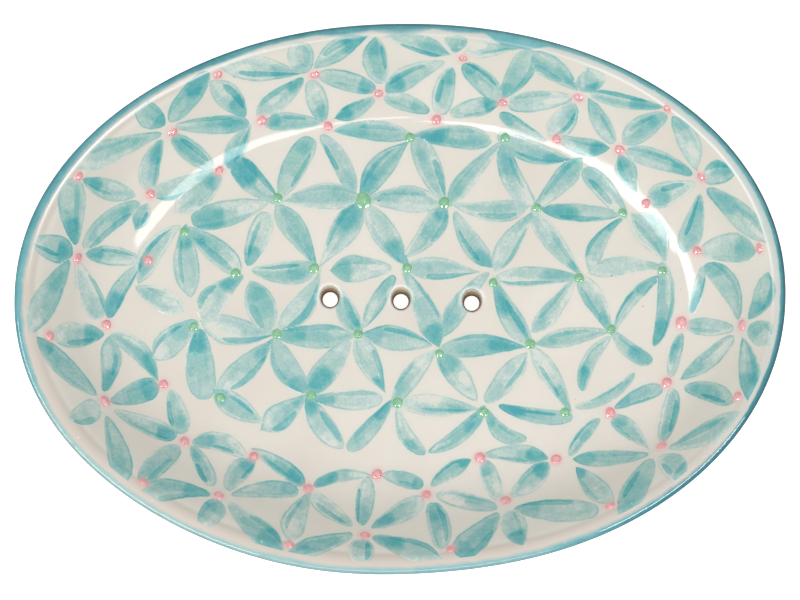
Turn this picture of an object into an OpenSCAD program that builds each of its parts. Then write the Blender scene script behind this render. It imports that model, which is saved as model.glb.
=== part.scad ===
// Oval soap dish in glazed stoneware, with three drain holes and a low oval foot.
// Millimetres, +Z up. The origin is under the middle of the rim, on the surface
// that the dish stands on. X runs along the dish, Y across it.
//
// Every wall surface is one profile carried round the oval. A profile point is
// [u, z]: u is how far it lies in from the rim's outline, z is its height.

/* [Rim] */
// Length over the rim
dish_l = 155; // [140:1:175]
// Width over the rim
dish_w = 111.5; // [100:0.5:125]
// Height of the rim
dish_h = 24; // [22:0.5:27]
// Radius of the rounded lip, over its glaze
lip_r = 1.9; // [1.6:0.1:2.2]
// Squareness of the oval: 2 is a true ellipse
oval_n = 2.07; // [2:0.01:2.4]

/* [Well] */
// Height of the glazed floor
floor_z = 10; // [9:0.5:12]
// How far the floor's edge lies in from the rim
wall_run = 22; // [21:0.5:26]
// Radius of the hollow curve between floor and wall
cove_r = 16; // [12:0.5:16]
// How far the pressed floor lies to the right of the rim's middle
floor_dx = 2; // [-3:0.5:3]
// How far the pressed floor lies behind the rim's middle
floor_dy = 2; // [-3:0.5:3]

/* [Drain holes] */
// Radius of a drain hole
hole_r = 1.55; // [1.2:0.05:2]
// Radius of a hole's eased top edge, in the clay
hole_top_r = 2.1; // [2.05:0.05:2.6]
// Distance from one hole to the next
hole_pitch = 14.5; // [12:0.5:18]
// Middle hole, to the right of the rim's middle
hole_x = 0.2; // [-3:0.1:3]
// Middle hole, behind the rim's middle
hole_y = 1.3; // [-3:0.1:3]
// How far the row of holes is turned, in degrees
hole_skew = -1.5; // [-3:0.5:3]

/* [Foot] */
// Height of the foot, up to the underside of the clay floor
foot_h = 4.5; // [4.5:0.5:6]
// Width of the foot where it joins the floor
foot_w = 5; // [4:0.5:7]

/* [Glaze] */
// Thickness of the glaze coats
glaze = 0.4; // [0.3:0.05:0.5]
// How far the rim band runs down the outside of the wall
band_drop = 2; // [1:0.5:4]
// Radius of a glaze dot
dot_r = 1; // [0.7:0.1:1.2]
// Height of a glaze dot above the surface that it sits on
dot_h = 0.55; // [0.3:0.05:0.7]

/* [Hidden] */

around = 64;          // points round the oval
cove_steps = 7;       // steps up the hollow curve
dot_sink = 0.1;       // a dot is fused this deep into the glaze under it
band_edge = 8;        // inner edge of the rim band, degrees past the lip's crest

// centre of the hollow curve and centre of the lip, as [u, z]
cove_c = [wall_run, floor_z + cove_r];
lip_c = [lip_r, dish_h - lip_r];
// slope of the straight wall, tangent to the hollow curve and to the lip
wall_a = asin((lip_r + cove_r) / norm(cove_c - lip_c))
       - atan2(cove_c[1] - lip_c[1], cove_c[0] - lip_c[0]);
// radius of the outer face about cove_c, at the wall and under the floor
skirt_top = cove_r + 2 * lip_r;
skirt_low = cove_c[1] - foot_h + glaze;

clay_white = [0.89, 0.85, 0.79];
glaze_white = [0.91, 0.89, 0.86];
teal = [0.25, 0.62, 0.66];
green = [0.49, 0.74, 0.56];
pink = [0.92, 0.62, 0.64];

// Dots on the floor, placed by eye as the pattern was painted: [x, y, size]
floor_dots = [
    [2, 34.5, 1], [21.5, 34.5, 1],
    [-25, 22, 1], [-7.5, 21.5, 1.6], [9, 21, 1.15], [28, 20, 0.9], [45.5, 19, 0.9],
    [-44, 15, 0.95], [-33.5, 6.5, 1], [-17.5, 7.5, 1.05], [1.5, 7.5, 1],
    [19, 4.5, 0.95], [36.5, 5.5, 1], [53.5, 7, 0.9],
    [-42, -4.5, 0.95], [-25, -6, 1.05], [-8.5, -6, 0.95], [8, -10, 0.85],
    [26.5, -8, 1.05], [43, -5, 0.95],
    [-36.5, -19, 1], [-18, -18.5, 1], [-0.5, -20, 1.1], [17, -22, 1], [33.5, -22, 1]];

// Dots on the wall: [angle round the oval, distance in from the rim, size]
wall_dots = [
    // the middle of each painted flower
    [30, 9, 1], [60, 9.5, 1], [81, 7, 0.9], [105, 9, 1], [134, 9.5, 1], [171, 10, 1.05],
    [207, 9.5, 1.05], [238, 8, 1], [264, 7, 1.05], [287, 12, 1.05], [319, 9.5, 1.05],
    [353, 9, 1.05],
    // where the petals meet near the rim
    [10, 5, 1], [45, 3.5, 0.9], [120, 4, 1], [153, 4, 1], [189, 5.5, 1.05], [226, 3.5, 0.95],
    [253, 3.5, 0.95], [277, 4, 1], [304, 4.5, 1.05], [337, 4.5, 1.05],
    // where the petals meet lower down, near the floor
    [13, 17.5, 0.9], [32, 21, 0.95], [47, 15.5, 1], [60, 19, 0.9], [73, 14.5, 0.85],
    [85, 19.5, 1.05], [95, 14, 0.9], [106, 19.5, 0.95], [118, 15, 1], [133, 21, 0.9],
    [149, 16, 0.95], [168, 23, 0.9], [188, 15.5, 1], [210, 20, 0.95], [225, 14, 1],
    [239, 17.5, 0.95], [252, 14.5, 1], [264, 19, 1.05], [273, 15, 0.95], [284, 21.5, 1.1],
    [299, 17.5, 1.05], [316, 21.5, 1.05], [332, 18.5, 1.05], [351, 21.5, 1.25]];

function lerp(a, b, t) = a + (b - a) * t;
function reversed(v) = [for (i = [len(v) - 1 : -1 : 0]) v[i]];
function rest(v) = [for (i = [1 : len(v) - 1]) v[i]];
function signed_pow(v, e) = sign(v) * pow(abs(v), e);

// the rings slide towards the floor's own middle as they go down
function slide(u) = sin(90 * min(1, max(0, u / wall_run)));
function on_oval(p, a) = [
    floor_dx * slide(p[0]) + (dish_l / 2 - p[0]) * signed_pow(cos(a), 2 / oval_n),
    floor_dy * slide(p[0]) + (dish_w / 2 - p[0]) * signed_pow(sin(a), 2 / oval_n),
    p[1]];

// pieces of profile, each sunk by off below its glazed surface
function cove(off) = [for (i = [0 : cove_steps]) let (a = wall_a * i / cove_steps)
    cove_c - (cove_r + off) * [sin(a), cos(a)]];
function lip(off, a0, a1, n) = [for (i = [0 : n]) let (a = lerp(a0, a1, i / n))
    lip_c + (lip_r - off) * [sin(a), cos(a)]];
function band_foot(off) = [lip_c - (lip_r - off) * [sin(wall_a), cos(wall_a)]
    + band_drop * [cos(wall_a), -sin(wall_a)]];
function skirt(off) = [for (i = [0 : cove_steps]) let (t = i / cove_steps, a = wall_a * (1 - t))
    cove_c - (lerp(skirt_top, skirt_low, t) - off) * [sin(a), cos(a)]];

// height and slope of the glazed inside at a distance in from the rim
function inside_z(u) =
    u >= wall_run ? floor_z
    : u >= wall_run - cove_r * sin(wall_a)
        ? cove_c[1] - sqrt(pow(cove_r, 2) - pow(wall_run - u, 2))
    : u >= lip_r * (1 + sin(wall_a))
        ? cove_c[1] - cove_r * cos(wall_a)
          + (wall_run - cove_r * sin(wall_a) - u) * tan(wall_a)
    : lip_c[1] + sqrt(pow(lip_r, 2) - pow(u - lip_r, 2));
function inside(a, u) = on_oval([u, inside_z(u)], a);
function unit(v) = v / norm(v);
function inside_normal(a, u) = unit(cross(
    inside(a, u - 0.1) - inside(a, u + 0.1), inside(a + 0.5, u) - inside(a - 0.5, u)));

// Two triangles between neighbouring rings. Both coats of a shared surface split
// their quads along the same diagonal, so they meet face to face.
function band_faces(p, i, j) = [for (k = [0 : around - 1])
    let (l = (k + 1) % around,
         a = i * around + k, b = i * around + l, c = j * around + l, d = j * around + k)
    each (p[j][0] > p[i][0] ? [[a, b, d], [b, c, d]] : [[a, b, c], [a, c, d]])];

// a hoop: a closed profile carried round the oval
module hoop(p) {
    polyhedron(
        points = [for (q = p) for (k = [0 : around - 1]) on_oval(q, 360 * k / around)],
        faces = [for (i = [0 : len(p) - 1]) each band_faces(p, i, (i + 1) % len(p))]);
}

// a dish: an open profile from the floor's edge, over the rim and back under the
// floor, closed by a flat face above and a flat face below
module dish(p) {
    n = len(p);
    polyhedron(
        points = [for (q = p) for (k = [0 : around - 1]) on_oval(q, 360 * k / around)],
        faces = [
            for (i = [0 : n - 2]) each band_faces(p, i, i + 1),
            [for (k = [around - 1 : -1 : 0]) k],
            [for (k = [0 : around - 1]) (n - 1) * around + k]]);
}

module at_holes() {
    translate([hole_x, hole_y, 0]) rotate(hole_skew)
        for (i = [-1 : 1]) translate([i * hole_pitch, 0, 0]) children();
}

// a low round bead of glaze, its flat side sunk into the surface
module dot(size) {
    r = dot_r * size;
    ball = (r * r + dot_h * dot_h) / (2 * dot_h);
    intersection() {
        translate([0, 0, dot_h - ball]) sphere(r = ball, $fn = 48);
        translate([0, 0, -dot_sink]) cylinder(r = 2 * r, h = dot_h + 1, $fn = 48);
    }
}

module clay_body() {
    color(clay_white) difference() {
        dish(concat(cove(glaze), lip(glaze, wall_a, band_edge, 2),
                    rest(lip(glaze, band_edge, wall_a - 180, 6)),
                    band_foot(glaze), skirt(glaze)));
        at_holes() {
            translate([0, 0, foot_h - 1]) cylinder(r = hole_r, h = floor_z, $fn = 48);
            translate([0, 0, floor_z - glaze - 0.6])
                cylinder(r1 = hole_r, r2 = hole_top_r, h = 0.6, $fn = 48);
            translate([0, 0, floor_z - glaze]) cylinder(r = hole_top_r, h = 1, $fn = 48);
        }
    }
}

module foot_ring() {
    i = wall_run + foot_w;
    color(clay_white) hoop([
        [wall_run, foot_h], [wall_run, foot_h - glaze], [wall_run + 0.7, 0.8],
        [wall_run + 1.3, 0], [i - 1.3, 0], [i - 0.7, 0.8], [i, foot_h - glaze], [i, foot_h]]);
}

module inner_glaze() {
    color(glaze_white) difference() {
        dish(concat(cove(0), lip(0, wall_a, band_edge, 2),
                    reversed(lip(glaze, wall_a, band_edge, 2)), reversed(cove(glaze))));
        at_holes() translate([0, 0, floor_z - 2]) cylinder(r = hole_top_r, h = 4, $fn = 48);
    }
}

module outer_glaze() {
    color(glaze_white)
        hoop(concat(band_foot(0), skirt(0), reversed(skirt(glaze)), band_foot(glaze)));
}

module base_glaze() {
    color(glaze_white) difference() {
        translate([0, 0, foot_h - glaze]) linear_extrude(glaze)
            polygon([for (k = [0 : around - 1])
                let (q = on_oval([wall_run + foot_w, 0], 360 * k / around)) [q[0], q[1]]]);
        at_holes() translate([0, 0, foot_h - 2]) cylinder(r = hole_r + 0.25, h = 4, $fn = 48);
    }
}

module rim_band() {
    color(teal) hoop(concat(
        lip(0, band_edge, wall_a - 180, 6), band_foot(0),
        band_foot(glaze), reversed(lip(glaze, band_edge, wall_a - 180, 6))));
}

module green_dots() {
    color(green) for (d = floor_dots) translate([d[0], d[1], floor_z]) dot(d[2]);
}

module pink_dots() {
    color(pink) for (d = wall_dots) {
        n = inside_normal(d[0], d[1]);
        translate(inside(d[0], d[1])) rotate([0, acos(n[2]), atan2(n[1], n[0])]) dot(d[2]);
    }
}

clay_body();
foot_ring();
inner_glaze();
outer_glaze();
base_glaze();
rim_band();
green_dots();
pink_dots();
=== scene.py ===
# Looks of the oval soap dish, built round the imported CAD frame. Sizes below are in millimetres; the meshes go out in metres.
import math

import bmesh
import bpy
import numpy as np
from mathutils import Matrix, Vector
from mathutils.geometry import delaunay_2d_cdt


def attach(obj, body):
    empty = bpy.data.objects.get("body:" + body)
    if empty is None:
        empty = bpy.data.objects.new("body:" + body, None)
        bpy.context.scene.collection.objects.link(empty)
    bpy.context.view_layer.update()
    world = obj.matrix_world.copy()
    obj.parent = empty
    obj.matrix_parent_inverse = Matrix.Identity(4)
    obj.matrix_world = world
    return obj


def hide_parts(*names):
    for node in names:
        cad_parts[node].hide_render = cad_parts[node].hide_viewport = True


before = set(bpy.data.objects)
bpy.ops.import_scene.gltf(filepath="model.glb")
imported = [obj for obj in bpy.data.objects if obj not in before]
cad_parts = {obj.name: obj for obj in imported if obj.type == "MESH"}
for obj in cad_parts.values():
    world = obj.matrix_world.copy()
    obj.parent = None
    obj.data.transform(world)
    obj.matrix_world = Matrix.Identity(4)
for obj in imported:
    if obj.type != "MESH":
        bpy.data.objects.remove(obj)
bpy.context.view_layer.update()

# ---------------------------------------------------------------- sizes, as in part.scad
DISH_L, DISH_W, DISH_H = 155.0, 111.5, 24.0
OVAL_N = 2.07
LIP = 1.9
COVE = 16.0
RUN = 22.0
FLOOR = 10.0
SHIFT_X = SHIFT_Y = 2.0
GLAZE = 0.4
FOOT_H = 4.5
HOLES = [(-14.295, 1.680), (0.2, 1.3), (14.695, 0.920)]
COVE_C = np.array([RUN, FLOOR + COVE])
LIP_C = np.array([LIP, DISH_H - LIP])
_d = math.dist(COVE_C, LIP_C)
WALL = math.asin((LIP + COVE) / _d) - math.atan2(COVE_C[1] - LIP_C[1], COVE_C[0] - LIP_C[0])
BAND_A = math.radians(8)  # the rim band's inner edge, from the crest of the lip

# ---------------------------------------------------------------- the photograph's camera
TILT = math.radians(7)
FAR = 800.0
FOCAL_PX = 3986.94
AIM = np.array([0.10177, -0.59268, 22.0])
LOOK = np.array([0, math.sin(TILT), -math.cos(TILT)])
UP = np.array([0, math.cos(TILT), math.sin(TILT)])
EYE = AIM - LOOK * FAR


def to_px(p):
    """Where points of the dish lie in the photograph's 800x600 frame. The painting is laid out in these units, once, when the meshes are made."""
    q = np.asarray(p, float) - EYE
    z = q @ LOOK
    return np.stack([400 + FOCAL_PX * q[..., 0] / z, 300 - FOCAL_PX * (q @ UP) / z], -1)


# ---------------------------------------------------------------- the dish's surface
def spow(v, e):
    return np.sign(v) * np.abs(v) ** e


# the hand-made outline: how far the rim lies off the true oval, in mm, as a few waves round it
WAVES = [(-0.20, 0.0), (0.21, 0.23), (-0.08, 0.40), (-0.06, 0.12), (0.09, 0.06), (-0.15, 0.03), (0.07, 0.06)]


def off_true(x, y, u):
    a = np.arctan2(y, x)
    d = sum(c * np.cos(k * a) + s * np.sin(k * a) for k, (c, s) in enumerate(WAVES))
    return d * np.clip(1 - np.asarray(u, float) / RUN, 0, 1) ** 0.8


def on_oval(u, z, phi):
    """Points at inset u from the rim's outline and height z, round the oval at the angles phi."""
    u, z, phi = np.broadcast_arrays(np.asarray(u, float), np.asarray(z, float), np.asarray(phi, float))
    s = np.sin(np.pi / 2 * np.clip(u / RUN, 0, 1))
    e = 2 / OVAL_N
    x = SHIFT_X * s + (DISH_L / 2 - u) * spow(np.cos(phi), e)
    y = SHIFT_Y * s + (DISH_W / 2 - u) * spow(np.sin(phi), e)
    d = off_true(x, y, u)
    r = np.maximum(np.hypot(x, y), 1e-6)
    return np.stack([x * (1 + d / r), y * (1 + d / r), z], -1)


def ripples(p, seed, low, high, n=14):
    """A smooth, seeded unevenness between about -1 and 1, with waves low to high mm long."""
    rng = np.random.default_rng(seed)
    out = np.zeros(p.shape[:-1])
    for _ in range(n):
        v = rng.normal(size=3)
        v *= 2 * math.pi / rng.uniform(low, high) / np.linalg.norm(v)
        out = out + np.sin(p @ v + rng.uniform(0, 6.28))
    return out / math.sqrt(n)


# ---------------------------------------------------------------- the section, from the floor's edge over the lip to the underside
def section(off, steps_cove, steps_wall, a0, steps_lip):
    """(inset, height) points of the inside, from the floor's edge up to angle a0 on the lip, off mm under the glazed surface."""
    a = np.linspace(0, WALL, steps_cove + 1)[1:]
    r = COVE + off
    cove = [(COVE_C[0] - r * math.sin(t), COVE_C[1] - r * math.cos(t)) for t in a]
    lr = LIP - off
    top = (LIP_C[0] + lr * math.sin(WALL), LIP_C[1] + lr * math.cos(WALL))
    wall = [tuple(np.array(cove[-1]) + (np.array(top) - cove[-1]) * t) for t in np.linspace(0, 1, steps_wall + 1)[1:]]
    lip = [(LIP_C[0] + lr * math.sin(t), LIP_C[1] + lr * math.cos(t)) for t in np.linspace(WALL, a0, steps_lip + 1)[1:]]
    return cove + wall + lip


def over_lip(off, a0, a1, steps):
    lr = LIP - off
    return [(LIP_C[0] + lr * math.sin(t), LIP_C[1] + lr * math.cos(t)) for t in np.linspace(a0, a1, steps + 1)]


def outside(off, t0, steps_wall, steps_cove, a_end=0.0):
    """(inset, height) points down the outside, from t0 mm under the lip to the foot, off mm under the glazed surface."""
    lr = LIP - off
    top = np.array([LIP_C[0] - lr * math.sin(WALL), LIP_C[1] - lr * math.cos(WALL)])
    rw = COVE + 2 * LIP - off
    low = COVE_C - rw * np.array([math.sin(WALL), math.cos(WALL)])
    d = (low - top) / np.linalg.norm(low - top)
    wall = [tuple(top + d * t) for t in np.linspace(t0, np.linalg.norm(low - top), steps_wall + 1)]
    cove = []
    for t in np.linspace(WALL, a_end, steps_cove + 1)[1:]:
        r = rw + 2.1 * (1 - t / WALL)
        cove.append((COVE_C[0] - r * math.sin(t), COVE_C[1] - r * math.cos(t)))
    return wall + cove


# ---------------------------------------------------------------- mesh building
class Skin:
    """Vertices in mm, faces, and one mark for each vertex."""

    def __init__(self, blank=-9.0):
        self.v, self.f, self.n, self.marks, self.blank = [], [], 0, [], blank

    def add(self, pts, mark=None):
        pts = np.asarray(pts, float).reshape(-1, 3)
        self.v.append(pts)
        self.marks.append(np.full(len(pts), self.blank if mark is None else mark))
        self.n += len(pts)
        return np.arange(self.n - len(pts), self.n)

    def quads(self, a, b, flip=False):
        """Joins two closed loops. One may have a whole number of times the other's points."""
        if len(a) == len(b):
            a2, b2 = np.roll(a, -1), np.roll(b, -1)
            q = np.stack([a, a2, b2, b], -1) if not flip else np.stack([b, b2, a2, a], -1)
            self.f += q.tolist()
            return
        swap = len(a) < len(b)
        big, small = (b, a) if swap else (a, b)
        m = len(big) // len(small)
        out = []
        for j in range(len(small)):
            s0, s1 = small[j], small[(j + 1) % len(small)]
            for i in range(m):
                p, q = big[j * m + i], big[(j * m + i + 1) % len(big)]
                out.append([p, q, s0] if i < m // 2 else [p, q, s1])
            out.append([big[j * m + m // 2], s1, s0])
        if swap:
            out = [t[::-1] for t in out]
        if flip:
            out = [t[::-1] for t in out]
        self.f += out

    def points(self):
        return np.concatenate(self.v)

    def mark(self):
        return np.concatenate(self.marks)


def disc_grid(n):
    """Radius and angle of an (n+1)x(n+1) grid laid over a disc, and its border, anticlockwise from -45 degrees."""
    i = np.linspace(-1, 1, n + 1)
    x, y = np.meshgrid(i, i, indexing="ij")
    r = np.maximum(abs(x), abs(y))
    with np.errstate(divide="ignore", invalid="ignore"):
        p = np.where(abs(x) >= abs(y), np.pi / 4 * y / x + np.where(x < 0, np.pi, 0), np.pi / 2 - np.pi / 4 * x / y + np.where(y < 0, np.pi, 0))
    p = np.where(r < 1e-9, 0, p)
    g = np.arange((n + 1) ** 2).reshape(n + 1, n + 1)
    border = np.concatenate([g[n, :n], g[::-1, n][:n], g[0, ::-1][:n], g[:, 0][:n]])
    return r, p, g, border


def cap(skin, n, u, place, ring_r, ring_n, flip=False):
    """A level oval patch inside inset u, with a round ring of ring_n points at ring_r mm round each drain hole. Returns its border and the rings."""
    r, p, g, border = disc_grid(n)
    e = 2 / OVAL_N
    s = math.sin(math.pi / 2 * min(u / RUN, 1))
    x = SHIFT_X * s + r * (DISH_L / 2 - u) * spow(np.cos(p), e)
    y = SHIFT_Y * s + r * (DISH_W / 2 - u) * spow(np.sin(p), e)
    pts = place(x.ravel(), y.ravel())
    base = skin.add(pts)
    g = g + base[0]
    quad = np.stack([g[:-1, :-1], g[1:, :-1], g[1:, 1:], g[:-1, 1:]], -1).reshape(-1, 4)
    flat = np.stack([x.ravel(), y.ravel()], -1)
    mid = flat[quad - base[0]].mean(1)
    keep = np.ones(len(quad), bool)
    cell = max((DISH_L / 2 - u), (DISH_W / 2 - u)) * 2 / n
    rings = []
    for hx, hy in HOLES:
        gone = np.hypot(mid[:, 0] - hx, mid[:, 1] - hy) < ring_r + 0.75 * cell
        keep &= ~gone
        # the ragged border of what was taken out
        edges = {}
        for f in quad[gone]:
            for a, b in zip(f, np.roll(f, -1)):
                edges[(a, b)] = True
        nxt = {a: b for a, b in edges if (b, a) not in edges}
        start = next(iter(nxt))
        loop = [start]
        while nxt[loop[-1]] != start:
            loop.append(nxt[loop[-1]])
        t = np.linspace(0, 2 * np.pi, ring_n, endpoint=False)
        rx, ry = hx + ring_r * np.cos(t), hy + ring_r * np.sin(t)
        ring = skin.add(place(rx, ry))
        rings.append(ring)
        pool = [Vector(flat[i - base[0]]) for i in loop] + [Vector(c) for c in zip(rx, ry)]
        k = len(loop)
        ed = [(i, (i + 1) % k) for i in range(k)] + [(k + i, k + (i + 1) % ring_n) for i in range(ring_n)]
        vo, _, fo, ov, _, _ = delaunay_2d_cdt(pool, ed, [], 0, 1e-6)
        ids = np.concatenate([loop, ring])
        outline = flat[np.array(loop) - base[0]]
        for tri in fo:
            c = np.mean([vo[i] for i in tri], 0)
            if math.hypot(c[0] - hx, c[1] - hy) < ring_r * math.cos(math.pi / ring_n) - 1e-4:
                continue
            inside, j = False, k - 1
            for i in range(k):
                (xi, yi), (xj, yj) = outline[i], outline[j]
                if (yi > c[1]) != (yj > c[1]) and c[0] < (xj - xi) * (c[1] - yi) / (yj - yi) + xi:
                    inside = not inside
                j = i
            if not inside:
                continue
            t3 = [int(ids[ov[i][0]]) for i in tri]
            a, b, c3 = [np.array(vo[i]) for i in tri]
            if (b[0] - a[0]) * (c3[1] - a[1]) - (b[1] - a[1]) * (c3[0] - a[0]) < 0:
                t3 = t3[::-1]
            skin.f.append(t3[::-1] if flip else t3)
    q = quad[keep].tolist()
    skin.f += [f[::-1] for f in q] if flip else q
    return border + base[0], rings


def loop_angles(n):
    return -np.pi / 4 + 2 * np.pi * np.arange(n) / n


def along(pts, last=0.0):
    """Distance along a line of (inset, height) points, such that it ends at last."""
    p = np.array(pts)
    d = np.concatenate([[0], np.cumsum(np.hypot(*np.diff(p, axis=0).T))])
    return d - d[-1] + last


def climb(skin, loop, pts, n, flip=False, bumps=None, marks=None):
    """Rings of n points through the (inset, height) points, joined on to loop. Returns the last ring."""
    phi = loop_angles(n)
    for i, (u, z) in enumerate(pts):
        p = on_oval(u, z, phi)
        if bumps is not None:
            p = bumps(p, u)
        ring = skin.add(p, None if marks is None else marks[i])
        if loop is not None:
            skin.quads(loop, ring, flip)
        loop = ring
    return loop


def make(name, skin, mat, smooth_deg=50):
    me = bpy.data.meshes.new(name)
    me.from_pydata((skin.points() / 1000).tolist(), [], skin.f)
    me.validate(verbose=False)
    bm = bmesh.new()
    bm.from_mesh(me)
    bmesh.ops.recalc_face_normals(bm, faces=bm.faces)
    bm.to_mesh(me)
    bm.free()
    me.update()
    me.shade_smooth()
    me.set_sharp_from_angle(angle=math.radians(smooth_deg))
    o = bpy.data.objects.new(name, me)
    bpy.context.scene.collection.objects.link(o)
    o.data.materials.append(mat)
    return o


def lift(p, u, amount=1.0):
    """The small unevenness of a hand-pressed surface, out of the way of the drain holes."""
    far = np.ones(len(p))
    for hx, hy in HOLES:
        far *= np.clip((np.hypot(p[:, 0] - hx, p[:, 1] - hy) - 3) / 4, 0, 1)
    q = p.copy()
    q[:, 2] = p[:, 2] + 0.028 * amount * ripples(p * [1, 1, 0], 7, 14, 38) * far
    return q


SWELL_U = (12.5, 25.9)


def swell(p, u):
    """How much fuller the inside is where the floor turns up into the wall, in mm: most at the back right."""
    a = np.arctan2(p[:, 1] - SHIFT_Y, p[:, 0] - SHIFT_X)
    d = (np.degrees(a) - 20 + 180) % 360 - 180
    f = np.clip((np.asarray(u, float) - SWELL_U[0]) / (SWELL_U[1] - SWELL_U[0]), 0, 1)
    return (0.286 + 0.26 * np.exp(-0.5 * (d / 30) ** 2)) * np.sin(np.pi * f) ** 2


def inset_of(x, y):
    """The inset from the rim's outline, in mm, of a plan point well inside the dish."""
    lo, hi = np.zeros(len(x)), np.full(len(x), DISH_W / 2 - 0.5)
    for _ in range(32):
        m = (lo + hi) / 2
        s = np.sin(np.pi / 2 * np.clip(m / RUN, 0, 1))
        f = np.abs((x - SHIFT_X * s) / (DISH_L / 2 - m)) ** OVAL_N + np.abs((y - SHIFT_Y * s) / (DISH_W / 2 - m)) ** OVAL_N
        lo, hi = np.where(f < 1, m, lo), np.where(f < 1, hi, m)
    return (lo + hi) / 2


def inside(p, u):
    """The unevenness of the inside surface."""
    q = lift(p, u)
    q[:, 2] += swell(p, u)
    return q


# ---------------------------------------------------------------- colours and node maths
def lin(r, g, b):
    """An sRGB colour, 0 to 255, as linear values."""
    out = []
    for c in (r, g, b):
        c /= 255
        out.append(c / 12.92 if c <= 0.04045 else ((c + 0.055) / 1.055) ** 2.4)
    return (*out, 1.0)


class Nodes:
    """A material's node tree, with short ways to write maths in it."""

    def __init__(self, name, roughness=0.3, ior=1.5, **sockets):
        self.mat = bpy.data.materials.new(name)
        self.mat.use_nodes = True
        self.t = self.mat.node_tree
        self.t.nodes.clear()
        self.out = self.t.nodes.new("ShaderNodeOutputMaterial")
        self.bsdf = self.t.nodes.new("ShaderNodeBsdfPrincipled")
        self.t.links.new(self.bsdf.outputs[0], self.out.inputs[0])
        self.bsdf.inputs["Roughness"].default_value = roughness
        self.bsdf.inputs["IOR"].default_value = ior
        for k, v in sockets.items():
            self.bsdf.inputs[k.replace("_", " ")].default_value = v
        self.place = self.t.nodes.new("ShaderNodeTexCoord").outputs["Object"]
        self.mm = self.vmath("SCALE", self.place, scale=1000.0)

    def put(self, socket, v):
        if isinstance(v, X):
            v = v.s
        if isinstance(v, bpy.types.NodeSocket):
            self.t.links.new(v, socket)
        else:
            socket.default_value = v

    def math(self, op, *args, clamp=False):
        n = self.t.nodes.new("ShaderNodeMath")
        n.operation = op
        n.use_clamp = clamp
        for i, a in enumerate(args):
            self.put(n.inputs[i], a)
        return X(self, n.outputs[0])

    def vmath(self, op, a, b=None, scale=None):
        n = self.t.nodes.new("ShaderNodeVectorMath")
        n.operation = op
        self.put(n.inputs[0], a)
        if b is not None:
            self.put(n.inputs[1], b)
        if scale is not None:
            self.put(n.inputs["Scale"], scale)
        return n.outputs[0]

    def step(self, v, lo, hi, smooth=True):
        n = self.t.nodes.new("ShaderNodeMapRange")
        n.interpolation_type = "SMOOTHSTEP" if smooth else "LINEAR"
        self.put(n.inputs[0], v)
        self.put(n.inputs[1], lo)
        self.put(n.inputs[2], hi)
        n.inputs[3].default_value, n.inputs[4].default_value = 0.0, 1.0
        return X(self, n.outputs[0])

    def noise(self, size, detail=2.0, rough=0.5, seed=0.0, vec=None, distortion=0.0):
        """A noise about 0.5, with features size mm long."""
        n = self.t.nodes.new("ShaderNodeTexNoise")
        n.inputs["Scale"].default_value = 1.0 / size
        n.inputs["Detail"].default_value = detail
        n.inputs["Roughness"].default_value = rough
        n.inputs["Distortion"].default_value = distortion
        v = self.mm if vec is None else vec
        if seed:
            v = self.vmath("ADD", v, (seed * 13.7, seed * 7.3, seed * 3.1))
        self.t.links.new(v, n.inputs["Vector"])
        return X(self, n.outputs[0])

    def cells(self, size, seed=0.0, feature="F1", rand=1.0, vec=None):
        n = self.t.nodes.new("ShaderNodeTexVoronoi")
        n.feature = feature
        n.inputs["Scale"].default_value = 1.0 / size
        n.inputs["Randomness"].default_value = rand
        v = self.mm if vec is None else vec
        if seed:
            v = self.vmath("ADD", v, (seed * 9.7, seed * 5.3, seed * 4.1))
        self.t.links.new(v, n.inputs["Vector"])
        return n

    def ramp(self, v, stops, mode="LINEAR"):
        n = self.t.nodes.new("ShaderNodeValToRGB")
        n.color_ramp.interpolation = mode
        e = n.color_ramp.elements
        while len(e) < len(stops):
            e.new(0.5)
        for el, (at, c) in zip(e, stops):
            el.position = at
            el.color = c
        self.put(n.inputs[0], v)
        return n.outputs[0]

    def mix(self, f, a, b, kind="MIX"):
        n = self.t.nodes.new("ShaderNodeMix")
        n.data_type = "RGBA"
        n.blend_type = kind
        self.put(n.inputs[0], f)
        self.put(n.inputs[6], a)
        self.put(n.inputs[7], b)
        return n.outputs[2]

    def attr(self, name):
        n = self.t.nodes.new("ShaderNodeAttribute")
        n.attribute_name = name
        return n

    def four(self, name):
        a = self.attr(name)
        s = self.t.nodes.new("ShaderNodeSeparateColor")
        self.t.links.new(a.outputs["Color"], s.inputs[0])
        return [X(self, s.outputs[i]) for i in range(3)] + [X(self, a.outputs["Alpha"])]

    def three(self, name):
        a = self.attr(name)
        s = self.t.nodes.new("ShaderNodeSeparateXYZ")
        self.t.links.new(a.outputs["Vector"], s.inputs[0])
        return [X(self, s.outputs[i]) for i in range(3)]

    def value(self, name):
        return X(self, self.attr(name).outputs["Fac"])

    def bump(self, height, distance_mm, strength=1.0):
        n = self.t.nodes.new("ShaderNodeBump")
        n.inputs["Strength"].default_value = strength
        n.inputs["Distance"].default_value = distance_mm / 1000
        self.put(n.inputs["Height"], height)
        self.t.links.new(n.outputs[0], self.bsdf.inputs["Normal"])

    def colour(self, v):
        self.put(self.bsdf.inputs["Base Color"], v)

    def rough(self, v):
        self.put(self.bsdf.inputs["Roughness"], v)


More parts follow.
